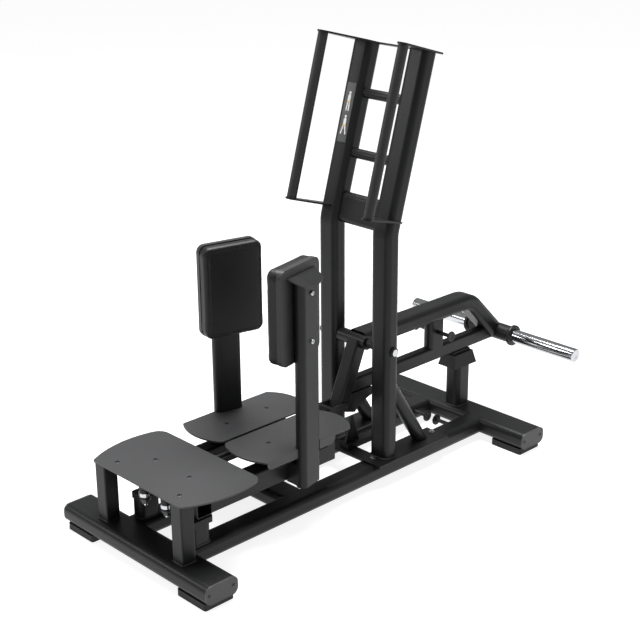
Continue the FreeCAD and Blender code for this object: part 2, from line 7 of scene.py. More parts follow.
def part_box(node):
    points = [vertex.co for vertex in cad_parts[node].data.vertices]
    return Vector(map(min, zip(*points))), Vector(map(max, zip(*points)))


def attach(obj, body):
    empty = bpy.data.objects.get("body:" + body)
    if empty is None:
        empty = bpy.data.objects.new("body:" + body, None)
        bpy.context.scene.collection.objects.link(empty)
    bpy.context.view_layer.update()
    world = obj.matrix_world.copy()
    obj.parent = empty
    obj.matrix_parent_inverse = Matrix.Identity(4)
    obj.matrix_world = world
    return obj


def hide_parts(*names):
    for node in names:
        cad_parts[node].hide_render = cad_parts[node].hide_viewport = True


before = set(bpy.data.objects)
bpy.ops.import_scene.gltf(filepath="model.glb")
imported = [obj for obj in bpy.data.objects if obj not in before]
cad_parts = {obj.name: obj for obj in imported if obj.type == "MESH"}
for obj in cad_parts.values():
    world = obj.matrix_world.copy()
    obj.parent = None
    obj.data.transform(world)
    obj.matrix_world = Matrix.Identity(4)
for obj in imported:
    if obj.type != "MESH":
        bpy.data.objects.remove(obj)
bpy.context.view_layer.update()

# ---- Steel frame, arms and lever ----
# Flat-oval, square and round steel tubes with laser-cut plates, welded together and
# then powder coated in a satin black with a fine sandy grain.


class Wire:
    """A shader output that takes part in sums and products, and adds other nodes to its tree."""

    def __init__(self, tree, socket=None):
        self.tree = tree
        self.socket = socket

    def node(self, kind, settings, sockets, output=0):
        made = self.tree.nodes.new(kind)
        for name, value in settings.items():
            setattr(made, name, value)
        for name, value in sockets.items():
            self.feed(made.inputs[name], value)
        return Wire(self.tree, made.outputs[output])

    def feed(self, socket, value):
        if isinstance(value, Wire):
            self.tree.links.new(value.socket, socket)
        else:
            socket.default_value = value

    def maths(self, operation, first, second):
        return self.node("ShaderNodeMath", {"operation": operation}, {0: first, 1: second})

    def __add__(self, other):
        return self.maths("ADD", self, other)

    def __sub__(self, other):
        return self.maths("SUBTRACT", self, other)

    def __rsub__(self, other):
        return self.maths("SUBTRACT", other, self)

    def __mul__(self, other):
        return self.maths("MULTIPLY", self, other)

    __radd__ = __add__
    __rmul__ = __mul__


def new_finish(name, **shader_values):
    """Material with its fixed values set; returns it, a Wire, its shader and the place on the object."""
    material = bpy.data.materials.new(name)
    material.use_nodes = True
    tree = material.node_tree
    shader = tree.nodes["Principled BSDF"]
    for key, value in shader_values.items():
        shader.inputs[key.replace("_", " ")].default_value = value
    wire = Wire(tree)
    place = wire.node("ShaderNodeTexCoord", {}, {}, "Object")
    return material, wire, shader, place


def mix(wire, factor, low, high):
    """Colour between low and high; 6, 7 and 2 are the node's colour sockets."""
    sockets = {0: factor, 6: (*low, 1.0), 7: (*high, 1.0)}
    return wire.node("ShaderNodeMix", {"data_type": "RGBA"}, sockets, 2)


def noise(wire, place, scale, detail=2.0, rough=0.5):
    sockets = {"Vector": place, "Scale": scale, "Detail": detail, "Roughness": rough}
    return wire.node("ShaderNodeTexNoise", {}, sockets, 0)


def ramp(wire, factor, low, high):
    """0 below low, 1 above high."""
    sockets = {"Value": factor, "From Min": low, "From Max": high}
    return wire.node("ShaderNodeMapRange", {"clamp": True}, sockets)


def bump(wire, shader, height, strength, distance):
    sockets = {"Height": height, "Strength": strength, "Distance": distance}
    wire.feed(shader.inputs["Normal"], wire.node("ShaderNodeBump", {}, sockets))


def powder_coat(name, dark, light, rough, grain, shine=0.22):
    """Sandy powder coat: fine pimples, slow tone drift and a few rubbed, shinier patches."""
    material, wire, shader, place = new_finish(name, Metallic=0.0, Specular_IOR_Level=shine)
    sand = noise(wire, place, 1400.0, 3.0, 0.6)
    drift = noise(wire, place, 5.0, 4.0)
    rubbed = ramp(wire, noise(wire, place, 28.0, 6.0, 0.65), 0.58, 0.72)
    wire.feed(shader.inputs["Base Color"], mix(wire, drift * 0.6 + sand * 0.4, dark, light))
    wire.feed(shader.inputs["Roughness"], rough - rubbed * 0.07 + sand * 0.06)
    bump(wire, shader, sand, grain, 0.00035)
    return material


def coat(material, *names):
    """Gives CAD nodes a finish."""
    for name in names:
        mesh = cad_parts[name].data
        mesh.materials.clear()
        mesh.materials.append(material)


coat_dark = (0.0055, 0.0057, 0.0061)
coat_light = (0.0115, 0.0118, 0.0125)
frame_coat = powder_coat("frame_powder_coat", coat_dark, coat_light, 0.35, 0.22)
coat(
    frame_coat,
    "front_crossbar", "rear_crossbar", "rails", "rail_cross_tube", "step_legs", "stub_posts", "step_bearers",
    "base_plate", "left_upright", "right_upright", "upright_braces", "bend_crossmember", "rungs",
    "handle_plates", "rear_post", "lever_rest_cap", "centre_stop", "lever_sleeve", "upper_beam", "down_link",
    "lower_beam", "link_knee", "beam_strut", "horn_hubs", "push_rod", "left_arm_beam", "right_arm_beam",
    "left_arm_boss", "right_arm_boss", "left_pad_post", "right_pad_post", "left_arm_brackets",
    "right_arm_brackets",
)

# ---- Step plate and foot plates ----
# Flat steel plates that the user stands on, coated in the same black with a slightly coarser grain
# that gives grip, and painted lighter than the frame as a painted highlight of the light on their tops.
# Painted highlight: these plate colours are several times lighter than the frame's black, standing in for the
# top light on the plates.
step_painted_highlight_low = (0.021, 0.0213, 0.0225)
step_painted_highlight_high = (0.033, 0.0334, 0.0348)
step_coat_painted_highlight = powder_coat("step_powder_coat_painted_highlight", step_painted_highlight_low, step_painted_highlight_high, 0.42, 0.32, 0.45)
coat(step_coat_painted_highlight, "step_plate", "left_foot_plate", "right_foot_plate")

# ---- Weld beads ----
# A rippled fillet of weld runs round the foot of every upright tube where it stands on
# a bar, rail or plate, and is coated over with the tube.
weld_r = 0.0028
weld_coat, wire, shader, place = new_finish("weld_powder_coat", Metallic=0.0, Specular_IOR_Level=0.5)
ripple = noise(wire, place, 260.0, 2.0)
wire.feed(shader.inputs["Base Color"], mix(wire, ripple, (0.009, 0.0092, 0.0097), (0.018, 0.0184, 0.0192)))
wire.feed(shader.inputs["Roughness"], 0.36 + ripple * 0.1)
bump(wire, shader, ripple, 0.8, 0.0012)


def choose_only(piece):
    bpy.ops.object.select_all(action="DESELECT")
    piece.select_set(True)
    bpy.context.view_layer.objects.active = piece


def apply_modifier(piece, kind, **settings):
    choose_only(piece)
    modifier = piece.modifiers.new(kind.lower(), kind)
    for key, value in settings.items():
        setattr(modifier, key, value)
    bpy.ops.object.modifier_apply(modifier=modifier.name)


def settle(piece, name, body, material):
    """Names a finished piece, brings its place into its mesh, and gives it its finish and body."""
    choose_only(piece)
    bpy.ops.object.transform_apply(location=True, rotation=True, scale=True)
    bpy.ops.object.mode_set(mode="EDIT")
    bpy.ops.mesh.select_all(action="SELECT")
    bpy.ops.mesh.normals_make_consistent(inside=False)
    bpy.ops.object.mode_set(mode="OBJECT")
    piece.name = name
    piece.data.name = name
    piece.data.materials.clear()
    piece.data.materials.append(material)
    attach(piece, body)
    return piece


def weld_bead(name, centre, size_x, size_y, corner):
    """Closed bead round a rounded rectangle, lying on a flat top."""
    bpy.ops.object.select_all(action="DESELECT")
    bpy.ops.mesh.primitive_plane_add(size=1, location=centre)
    bead = bpy.context.object
    bead.scale = (size_x, size_y, 1)
    bpy.ops.object.transform_apply(location=False, rotation=False, scale=True)
    bpy.ops.object.mode_set(mode="EDIT")
    bpy.ops.mesh.select_all(action="SELECT")
    bpy.ops.mesh.bevel(offset=corner, segments=8, affect="VERTICES")
    bpy.ops.mesh.delete(type="ONLY_FACE")
    bpy.ops.object.mode_set(mode="OBJECT")
    bpy.ops.object.convert(target="CURVE")
    bead = bpy.context.object
    bead.data.bevel_depth = weld_r
    bead.data.bevel_resolution = 2
    bpy.ops.object.convert(target="MESH")
    bead = bpy.context.object
    bpy.ops.object.shade_smooth()
    return settle(bead, name, "frame", weld_coat)


leg_low, leg_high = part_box("step_legs")
post_low, post_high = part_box("rear_post")
stub_low, stub_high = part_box("stub_posts")
upright_low, upright_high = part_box("right_upright")
leg_side = 0.050
leg_corner = 0.005
stub_w = 0.054
oval_corner = 0.020
upright_depth = 0.060
upright_y = upright_low.y + upright_depth / 2
for side_name, side in (("right", 1), ("left", -1)):
    middle = ((leg_high.x - leg_side / 2) * side, (leg_low.y + leg_high.y) / 2, leg_low.z)
    weld_bead(side_name + "_leg_weld", middle, leg_side, leg_side, leg_corner)
    middle = ((stub_high.x - stub_w / 2) * side, (stub_low.y + stub_high.y) / 2, stub_low.z)
    weld_bead(side_name + "_stub_weld", middle, stub_w, stub_high.y - stub_low.y, oval_corner)
    middle = ((upright_low.x + upright_high.x) / 2 * side, upright_y, upright_low.z)
    upright_w = upright_high.x - upright_low.x
    weld_bead(side_name + "_upright_weld", middle, upright_w, upright_depth, oval_corner)
middle = (0, (post_low.y + post_high.y) / 2, post_low.z)
weld_bead("rear_post_weld", middle, post_high.x - post_low.x, post_high.y - post_low.y, oval_corner)

# ---- Feet and slide pads ----
# Moulded blocks of black rubber under the crossbar ends, and slide pads on the stub
# posts that carry the swinging arms. Both have a dull, finely pitted skin.


def moulded(name, dark, light, rough, pits, depth):
    """Moulded rubber or plastic: pitted skin with a dusty, uneven sheen."""
    material, wire, shader, place = new_finish(name, Metallic=0.0, Specular_IOR_Level=0.4)
    skin = noise(wire, place, pits, 4.0, 0.6)
    dust = noise(wire, place, 22.0, 5.0, 0.6)
    wire.feed(shader.inputs["Base Color"], mix(wire, dust, dark, light))
    wire.feed(shader.inputs["Roughness"], rough + dust * 0.12)
    bump(wire, shader, skin, 0.35, depth)
    return material


rubber = moulded("black_rubber", (0.0065, 0.0065, 0.0065), (0.014, 0.0138, 0.0135), 0.62, 700.0, 0.0005)
coat(rubber, "rubber_feet", "slide_pads")

# ---- Lever rest pad ----
# A block of black rubber on which the lever lands, with shallow notches down its sides.
rest_low, rest_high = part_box("lever_rest_pad")
rib_count = 6
groove_half = 0.0015
side_reach = 0.020
notch_share = 0.9
bpy.ops.object.select_all(action="DESELECT")
bpy.ops.mesh.primitive_cube_add(size=1, location=(rest_low + rest_high) / 2, scale=rest_high - rest_low)
rest_pad = bpy.context.object
bpy.ops.object.transform_apply(location=True, rotation=False, scale=True)
rib_pitch = (rest_high.y - rest_low.y) / rib_count
bpy.ops.object.mode_set(mode="EDIT")
for rib in range(1, rib_count):
    for half_groove in (-groove_half, groove_half):
        bpy.ops.mesh.select_all(action="SELECT")
        cut_y = rest_low.y + rib_pitch * rib + half_groove
        bpy.ops.mesh.bisect(plane_co=(0, cut_y, 0), plane_no=(0, 1, 0))
bpy.ops.object.mode_set(mode="OBJECT")
for vertex in rest_pad.data.vertices:
    from_rib = (vertex.co.y - rest_low.y) % rib_pitch
    in_groove = min(from_rib, rib_pitch - from_rib) < 0.002
    at_end = min(vertex.co.y - rest_low.y, rest_high.y - vertex.co.y) < 0.001
    if in_groove and not at_end and abs(vertex.co.x) > side_reach:
        vertex.co.x *= notch_share
apply_modifier(rest_pad, "BEVEL", width=0.0012, segments=3, limit_method="ANGLE")
bpy.ops.object.shade_smooth_by_angle(angle=radians(40))
settle(rest_pad, "rest_rubber", "frame", rubber)
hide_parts("lever_rest_pad")

# ---- Crossbar end caps and pad boards ----
# Moulded black plastic: the caps close the crossbar ends, and the boards back the
# thigh pads and sit between them and their posts.
plastic = moulded("black_plastic", (0.030, 0.030, 0.031), (0.043, 0.043, 0.044), 0.40, 1100.0, 0.00025)
coat(plastic, "crossbar_end_caps")
coat(frame_coat, "axle_collars")
board_plastic = moulded("board_plastic", (0.011, 0.011, 0.0115), (0.020, 0.020, 0.0208), 0.42, 900.0, 0.0003)
coat(board_plastic, "left_pad_board", "right_pad_board")

# ---- Bare and plated steel ----
# The axle, pivot pins and link pin are bright, with fine polishing lines along them;
# the nuts that hold the pivots are blackened.


def plated(name, dark, light, rough, streak):
    """Metal with fine polishing lines, stretched by streak, and faint cloudy wear."""
    material, wire, shader, place = new_finish(name, Metallic=1.0)
    stretched = wire.node("ShaderNodeMapping", {}, {"Vector": place, "Scale": streak})
    lines = noise(wire, stretched, 1.0, 3.0, 0.7)
    wear = noise(wire, place, 35.0, 5.0, 0.6)
    wire.feed(shader.inputs["Base Color"], mix(wire, wear, dark, light))
    wire.feed(shader.inputs["Roughness"], rough + lines * 0.09 + wear * 0.05)
    bump(wire, shader, lines, 0.04, 0.00005)
    return material


along_x = (30.0, 700.0, 700.0)
all_ways = (900.0, 900.0, 900.0)
bright_steel = plated("bright_steel", (0.40, 0.41, 0.43), (0.56, 0.57, 0.585), 0.07, along_x)
zinc = plated("zinc_plated_steel", (0.38, 0.39, 0.40), (0.52, 0.53, 0.54), 0.20, all_ways)
black_oxide = plated("black_oxide_steel", (0.045, 0.046, 0.05), (0.09, 0.092, 0.097), 0.30, all_ways)
coat(bright_steel, "axle", "pivot_pins", "rod_pin")
coat(black_oxide, "pivot_nuts")

# ---- Handles ----
# Round steel tubes under a thin sleeve of ribbed black rubber, for the hands.
handle_grip, wire, shader, place = new_finish("handle_grip", Metallic=0.0, Specular_IOR_Level=0.4)
sockets = {"Vector": place, "Scale": 95.0, "Distortion": 0.3}
ribs = wire.node("ShaderNodeTexWave", {"bands_direction": "Z"}, sockets, "Fac")
worn = noise(wire, place, 14.0, 5.0, 0.6)
wire.feed(shader.inputs["Base Color"], mix(wire, worn, (0.009, 0.009, 0.0093), (0.017, 0.017, 0.0174)))
wire.feed(shader.inputs["Roughness"], 0.46 + worn * 0.12)
bump(wire, shader, ribs + worn * 0.4, 0.25, 0.0003)
coat(handle_grip, "handles")

# ---- Weight horns, collars and band pegs ----
# The horns are chromed bars with a chamfered, slightly dished end. Black collars stop
# the plates, and flanged pegs on the rails and lever hold elastic bands.


def turned(start, along, rings, sides=64):
    """Round bar turned on a lathe: rings lists its (distance along, radius), both ends closed."""
    bpy.ops.object.select_all(action="DESELECT")
    bpy.ops.mesh.primitive_circle_add(vertices=sides, radius=rings[0][1], fill_type="NGON")
    bar = bpy.context.object
    bpy.ops.object.mode_set(mode="EDIT")
    bpy.ops.mesh.select_all(action="SELECT")
    for (here, radius), (there, wider) in zip(rings, rings[1:]):
        bpy.ops.mesh.extrude_region_move(TRANSFORM_OT_translate={"value": (0, 0, there - here)})
        grow = wider / radius
        bpy.ops.transform.resize(value=(grow, grow, 1), center_override=(0, 0, there))
    bpy.ops.mesh.select_all(action="SELECT")
    bpy.ops.mesh.normals_make_consistent(inside=False)
    bpy.ops.object.mode_set(mode="OBJECT")
    turn = Vector(along).to_track_quat("Z", "Y").to_matrix().to_4x4()
    bar.matrix_world = Matrix.Translation(Vector(start)) @ turn
    choose_only(bar)
    bpy.ops.object.transform_apply(location=True, rotation=True, scale=True)
    bpy.ops.object.shade_smooth_by_angle(angle=radians(32))
    return bar


def joined(first, *others):
    bpy.ops.object.select_all(action="DESELECT")
    for piece in (first, *others):
        piece.select_set(True)
    bpy.context.view_layer.objects.active = first
    bpy.ops.object.join()
    return first


horn_low, horn_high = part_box("weight_horns")
collar_low, collar_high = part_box("horn_collars")
horn_r = (horn_high.z - horn_low.z) / 2
collar_r = (collar_high.z - collar_low.z) / 2
horn_at = (horn_low + horn_high) / 2
horn_len = horn_high.x - collar_high.x
collar_t = 0.012
black_collar = powder_coat("collar_powder_coat", (0.009, 0.0092, 0.0096), (0.017, 0.0173, 0.018), 0.33, 0.18)
for side_name, side in (("right", 1), ("left", -1)):
    root = (collar_high.x * side, horn_at.y, horn_at.z)
    rings = (
        (0, horn_r), (horn_len - 0.0025, horn_r),
        (horn_len - 0.0008, horn_r - 0.0015), (horn_len, horn_r - 0.004), (horn_len, 0.010),
        (horn_len - 0.0012, 0.008), (horn_len - 0.0012, 0.002),
    )
    horn = turned(root, (side, 0, 0), rings)
    settle(horn, side_name + "_horn_bar", "lever", bright_steel)
    root = ((collar_high.x - collar_t) * side, horn_at.y, horn_at.z)
    rings = (
        (0, collar_r - 0.003), (0.0012, collar_r - 0.0008),
        (0.003, collar_r), (collar_t - 0.003, collar_r),
        (collar_t - 0.0012, collar_r - 0.0008), (collar_t, collar_r - 0.003), (collar_t, horn_r + 0.003),
        (collar_t + 0.0015, horn_r + 0.0015), (collar_t + 0.0015, horn_r - 0.001),
    )
    collar = turned(root, (side, 0, 0), rings)
    settle(collar, side_name + "_horn_stop", "lever", black_collar)
    if side == 1:
        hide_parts("weight_horns")
        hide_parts("horn_collars")


peg_r = 0.007
flange_t = 0.006
peg_inner = 0.019


def flanged_peg(root, way, length, flange_r):
    """Peg with a dished, round-edged flange at its free end."""
    rings = (
        (0, peg_r), (length - flange_t - 0.002, peg_r),
        (length - flange_t, peg_r + 0.003), (length - flange_t, flange_r - 0.001),
        (length - flange_t + 0.001, flange_r), (length - 0.001, flange_r), (length, flange_r - 0.001),
        (length, flange_r * 0.55), (length - 0.002, flange_r * 0.42), (length - 0.002, flange_r * 0.1),
    )
    return turned(root, way, rings, 48)


peg_low, peg_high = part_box("rail_band_pegs")
peg_at = (peg_low + peg_high) / 2
peg_len = peg_high.x - peg_inner
flange_r = (peg_high.z - peg_low.z) / 2
pegs = [
    flanged_peg((peg_high.x * side, peg_at.y, peg_at.z), (-side, 0, 0), peg_len, flange_r)
    for side in (-1, 1)
]
rail_pegs = settle(joined(*pegs), "rail_pegs", "frame", black_collar)
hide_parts("rail_band_pegs")
band_low, band_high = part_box("lever_band_pegs")
band_at = (band_low + band_high) / 2
band_len = band_high.x - peg_inner
flange_r = (band_high.z - band_low.z) / 2
pegs = [
    flanged_peg((peg_inner * side, band_at.y, band_at.z), (side, 0, 0), band_len, flange_r)
    for side in (-1, 1)
]
lever_pegs = settle(joined(*pegs), "lever_pegs", "lever", black_collar)
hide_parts("lever_band_pegs")

# ---- Pivot bushings ----
# A bright steel ring shows round the lower end of each arm boss, just above the black
# flange and nut that hold the arm on its pin.
boss_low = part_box("right_arm_boss")[0]
pin_low, pin_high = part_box("pivot_pins")
pivot_r = 0.010
pivot_x = pin_high.x - pivot_r
pivot_y = (pin_low.y + pin_high.y) / 2
boss_r = 0.018
ring_up = 0.008
for side_name, side in (("right", 1), ("left", -1)):
    rings = (
        (0, boss_r + 0.0004), (0.0006, boss_r + 0.0012),
        (0.012, boss_r + 0.0012), (0.0135, boss_r + 0.0002),
    )
    ring = turned((pivot_x * side, pivot_y, boss_low.z + ring_up), (0, 0, 1), rings)
    settle(ring, side_name + "_pivot_ring", side_name + "_arm", bright_steel)

# ---- Bolts and screws ----
# Countersunk socket screws lie flush in the step and foot plates, button heads hold the
# end caps and the thigh pads, and hexagon bolts with washers hold the base plate.


def socket_cut(piece, at, along, across, depth):
    """Sinks a hexagon socket into a head."""
    bpy.ops.object.select_all(action="DESELECT")
    bpy.ops.mesh.primitive_cylinder_add(vertices=6, radius=across / 2 / cos(pi / 6), depth=depth * 2)
    cutter = bpy.context.object
    turn = Vector(along).to_track_quat("Z", "Y").to_matrix().to_4x4()
    cutter.matrix_world = Matrix.Translation(Vector(at)) @ turn
    apply_modifier(piece, "BOOLEAN", object=cutter, operation="DIFFERENCE", solver="EXACT")
    bpy.data.objects.remove(cutter, do_unlink=True)


def socket_screw(top, along, head_r, head_t, shank_r, shank_len, dome, across):
    """Socket screw whose head's top is at top, its head rounded by dome."""
    way = Vector(along)
    bottom = Vector(top) - way * (head_t + shank_len)
    full = shank_len + head_t
    rings = (
        (0, shank_r - 0.0006), (0.0006, shank_r), (shank_len, shank_r), (shank_len, head_r - 0.0003),
        (shank_len + 0.0003, head_r), (full - dome, head_r), (full - dome * 0.35, head_r - dome * 0.35),
        (full, head_r - dome),
    )
    screw = turned(bottom, along, rings, 36)
    socket_cut(screw, top, along, across, min(head_t * 0.7, 0.0022))
    return screw


def hex_bolt(seat, along, across, head_t, washer_r, shank_len):
    """Hexagon bolt with a chamfered head and a washer, its washer on seat."""
    way = Vector(along)
    washer_t = 0.0015
    edge = 0.0003
    rings = (
        (0, washer_r - edge), (edge, washer_r), (washer_t - edge, washer_r), (washer_t, washer_r - edge),
    )
    washer = turned(seat, along, rings, 36)
    bpy.ops.object.select_all(action="DESELECT")
    bpy.ops.mesh.primitive_cylinder_add(vertices=6, radius=across / 2 / cos(pi / 6), depth=head_t - washer_t)
    head = bpy.context.object
    turn = way.to_track_quat("Z", "Y").to_matrix().to_4x4()
    head_mid = Vector(seat) + way * (washer_t + (head_t - washer_t) / 2)
    head.matrix_world = Matrix.Translation(head_mid) @ turn
    apply_modifier(head, "BEVEL", width=0.0007, segments=2, limit_method="ANGLE")
    bpy.ops.object.transform_apply(location=True, rotation=True, scale=True)
    shank_r = across * 0.28
    shank = turned(Vector(seat) - way * shank_len, along, ((0, shank_r), (shank_len, shank_r)), 24)
    bpy.ops.object.select_all(action="DESELECT")
    return joined(head, washer, shank)


screw_low, screw_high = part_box("step_screws")
head_r = 0.0075
head_t = 0.0027
flush_screw = (head_r, head_t, 0.004, 0.014, 0.0004, 0.0050)
rear_screw = (0.083, screw_high.y - head_r)
front_screw = (screw_high.x - head_r, screw_low.y + head_r)
screws = [
    socket_screw((x * side, y, screw_high.z), (0, 0, 1), *flush_screw)
    for x, y in (front_screw, rear_screw)
    for side in (-1, 1)
]
step_screws = settle(joined(*screws), "step_plate_screws", "frame", black_oxide)
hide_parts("step_screws")

cap_low, cap_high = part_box("end_cap_screws")
cap_r = (cap_high.z - cap_low.z) / 2
cap_z = (cap_low.z + cap_high.z) / 2
cap_pitch = 0.090
cap_ys = (
    cap_low.y + cap_r, cap_low.y + cap_r + cap_pitch, cap_high.y - cap_r - cap_pitch, cap_high.y - cap_r,
)
screws = [
    socket_screw((cap_high.x * side, y, cap_z), (side, 0, 0), cap_r, 0.0025, 0.003, 0.005, 0.0012, 0.0042)
    for y in cap_ys
    for side in (-1, 1)
]
cap_screws = settle(joined(*screws), "cap_screws", "frame", black_oxide)
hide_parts("end_cap_screws")

bolt_low, bolt_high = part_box("base_bolts")
plate_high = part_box("base_plate")[1]
bolt_r = 0.009
bolt_across = bolt_r * 1.7
washer_r = bolt_r + 0.002
bolt_h = bolt_high.z - plate_high.z
front_bolt = (bolt_high.x - bolt_r - 0.002, bolt_low.y + bolt_r)
rear_bolt = (bolt_high.x - bolt_r, bolt_high.y - bolt_r)
bolts = [
    hex_bolt((x * side, y, plate_high.z), (0, 0, 1), bolt_across, bolt_h, washer_r, 0.008)
    for x, y in (front_bolt, rear_bolt)
    for side in (-1, 1)
]
base_bolts = settle(joined(*bolts), "base_plate_bolts", "frame", zinc)
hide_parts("base_bolts")

toe = radians(13)
post_at = Vector((0.192, -0.322, 0))
post_t = 0.040
button_t = 0.006
button_screw = (0.008, button_t, 0.004, 0.010, 0.0028, 0.0062)
button_zs = (0.644, 0.800)
plate_screw_x = 0.101
plate_screw_ys = (-0.405, -0.232)
sink = 0.0003
foot_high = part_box("right_foot_plate")[1]
for side_name, side in (("right", 1), ("left", -1)):
    out_way = Vector((cos(toe) * side, sin(toe), 0))
    seat = Vector((post_at.x * side, post_at.y, 0)) + out_way * post_t / 2
    fixings = [
        socket_screw(seat + out_way * button_t + Vector((0, 0, z)), out_way, *button_screw)
        for z in button_zs
    ]
    fixings = settle(joined(*fixings), side_name + "_pad_bolts", side_name + "_arm", zinc)
    plate_screws = [
        socket_screw((plate_screw_x * side, y, foot_high.z - sink), (0, 0, 1), *flush_screw)
        for y in plate_screw_ys
    ]
    plate_screws = settle(
        joined(*plate_screws), side_name + "_plate_screws", side_name + "_arm", black_oxide
    )
    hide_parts(side_name + "_arm_fixings")
    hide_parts(side_name + "_arm_fixings")

# ---- Thigh pads ----
# Firm foam on a board, covered in smooth black vinyl. The cover is pulled tight over a
# slightly crowned face, with a pressed line that frames a panel inside the rounded border.
vinyl, wire, shader, place = new_finish("black_vinyl", Metallic=0.0, Specular_IOR_Level=0.28)
cells = wire.node(
    "ShaderNodeTexVoronoi", {"feature": "DISTANCE_TO_EDGE"}, {"Vector": place, "Scale": 520.0}, 0
)
grain = ramp(wire, cells, 0.02, 0.18)
stretch = noise(wire, place, 9.0, 4.0)
wire.feed(shader.inputs["Base Color"], mix(wire, stretch, (0.0028, 0.0028, 0.0030), (0.0058, 0.0058, 0.0061)))
wire.feed(shader.inputs["Roughness"], 0.40 + stretch * 0.12)
bump(wire, shader, grain + stretch * 0.3, 0.16, 0.0003)

pad_width = 0.212
pad_low, pad_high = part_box("right_pad")
pad_height = pad_high.z - pad_low.z
pad_thick = 0.038
pad_corner = 0.028
swell = 0.001
swell_cap = 0.0025

bpy.ops.object.select_all(action="DESELECT")
bpy.ops.mesh.primitive_cube_add(size=1)
pad = bpy.context.object
pad.scale = (pad_width - 2 * swell, pad_height - 2 * swell, pad_thick - swell)
pad.location = (0, 0, (pad_thick - swell) / 2)
bpy.ops.object.transform_apply(location=True, rotation=True, scale=True)
bpy.ops.object.mode_set(mode="EDIT")
bpy.ops.mesh.select_mode(type="EDGE")
bpy.ops.mesh.select_all(action="DESELECT")
bpy.ops.object.mode_set(mode="OBJECT")
for edge in pad.data.edges:
    first, second = (pad.data.vertices[i].co for i in edge.vertices)
    edge.select = abs(first.z - second.z) > pad_thick / 2
bpy.ops.object.mode_set(mode="EDIT")
bpy.ops.mesh.bevel(offset=pad_corner - swell, segments=10, affect="EDGES")
bpy.ops.mesh.select_all(action="DESELECT")
bpy.ops.object.mode_set(mode="OBJECT")
for edge in pad.data.edges:
    first, second = (pad.data.vertices[i].co for i in edge.vertices)
    edge.select = min(first.z, second.z) > pad_thick - swell - 0.0005
bpy.ops.object.mode_set(mode="EDIT")
bpy.ops.mesh.bevel(offset=0.010, segments=5, affect="EDGES")
bpy.ops.mesh.select_mode(type="VERT")
bpy.ops.object.mode_set(mode="OBJECT")
apply_modifier(pad, "REMESH", mode="VOXEL", voxel_size=0.005)
rest = [vertex.co.copy() for vertex in pad.data.vertices]
cloth = pad.modifiers.new("stuffing", "CLOTH")
cloth.settings.use_pressure = True
cloth.settings.uniform_pressure_force = 4
cloth.settings.effector_weights.gravity = 0
for step in range(1, 21):
    bpy.context.scene.frame_set(step)
choose_only(pad)
bpy.ops.object.modifier_apply(modifier="stuffing")
bpy.context.scene.frame_set(1)
for vertex, start in zip(pad.data.vertices, rest):
    moved = vertex.co - start
    if moved.length > swell_cap:
        moved = moved * (swell_cap / moved.length)
    vertex.co = start + moved
apply_modifier(pad, "SUBSURF", levels=1, render_levels=1)

seam_in = 0.017
seam_half = 0.0028
seam_depth = 0.0022
half_w = pad_width / 2 - seam_in
half_h = pad_height / 2 - seam_in
seam_corner = pad_corner - seam_in + 0.004
panel_sink = 0.0006
limit_x = pad_width / 2
limit_y = pad_height / 2
for vertex in pad.data.vertices:
    x, y, z = vertex.co
    vertex.co.x = max(-limit_x, min(limit_x, x))
    vertex.co.y = max(-limit_y, min(limit_y, y))
    vertex.co.z = max(0.0, z)
    if z > pad_thick / 2:
        over_x = abs(x) - (half_w - seam_corner)
        over_y = abs(y) - (half_h - seam_corner)
        if over_x > 0 and over_y > 0:
            from_seam = hypot(over_x, over_y) - seam_corner
        else:
            from_seam = max(over_x, over_y) - seam_corner
        if abs(from_seam) < seam_half:
            vertex.co.z -= seam_depth * (1 - (from_seam / seam_half) ** 2)
        elif from_seam < 0:
            vertex.co.z -= panel_sink
bpy.ops.object.shade_smooth()

board_t = 0.018
out_way = Vector((cos(toe), sin(toe), 0))
pad_mid = Vector((post_at.x, post_at.y, (pad_low.z + pad_high.z) / 2))
pad_mid -= out_way * (post_t / 2 + board_t)
up_way = Vector((0, 0, 1))
facing = -out_way
across = up_way.cross(facing)
pad.matrix_world = Matrix.Translation(pad_mid) @ Matrix((across, up_way, facing)).transposed().to_4x4()
choose_only(pad)
bpy.ops.object.transform_apply(location=True, rotation=True, scale=True)
bpy.ops.object.duplicate()
left_pad = bpy.context.object
left_pad.scale = (-1, 1, 1)
for piece, side_name in ((pad, "right"), (left_pad, "left")):
    settle(piece, side_name + "_thigh_pad", side_name + "_arm", vinyl)
    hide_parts(side_name + "_pad")

# ---- Placard ----
# A thin printed strip stuck to the front of the left upright, with two plain figures
# that show the exercise and no wording.
placard_film, wire, shader, place = new_finish("placard_film", Metallic=0.0, Specular_IOR_Level=0.5)
film = noise(wire, place, 60.0, 4.0)
wire.feed(shader.inputs["Base Color"], mix(wire, film, (0.030, 0.031, 0.033), (0.045, 0.046, 0.049)))
wire.feed(shader.inputs["Roughness"], 0.34 + film * 0.08)
bump(wire, shader, film, 0.05, 0.0002)
figure_ink, wire, shader, place = new_finish("figure_ink", Metallic=0.0, Specular_IOR_Level=0.4)
ink = noise(wire, place, 240.0, 3.0)
wire.feed(shader.inputs["Base Color"], mix(wire, ink, (0.52, 0.52, 0.51), (0.72, 0.72, 0.70)))
wire.feed(shader.inputs["Roughness"], 0.45 + ink * 0.1)
amber_ink, wire, shader, place = new_finish("amber_ink", Metallic=0.0, Specular_IOR_Level=0.4)
ink = noise(wire, place, 240.0, 3.0)
wire.feed(shader.inputs["Base Color"], mix(wire, ink, (0.55, 0.28, 0.07), (0.68, 0.36, 0.10)))
wire.feed(shader.inputs["Roughness"], 0.45 + ink * 0.1)

lean = radians(16)
strip_low, strip_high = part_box("placard")
strip_w = strip_high.x - strip_low.x
strip_len = 0.196
strip_t = 0.0015
strip_x = (strip_low.x + strip_high.x) / 2
strip_mid = Vector((strip_x, (strip_low.y + strip_high.y) / 2, (strip_low.z + strip_high.z) / 2))
on_strip = Matrix.Translation(strip_mid) @ Matrix.Rotation(radians(90) - lean, 4, "X")


ink_t = 0.0003
low_lift = 0.0001
high_lift = 0.0003


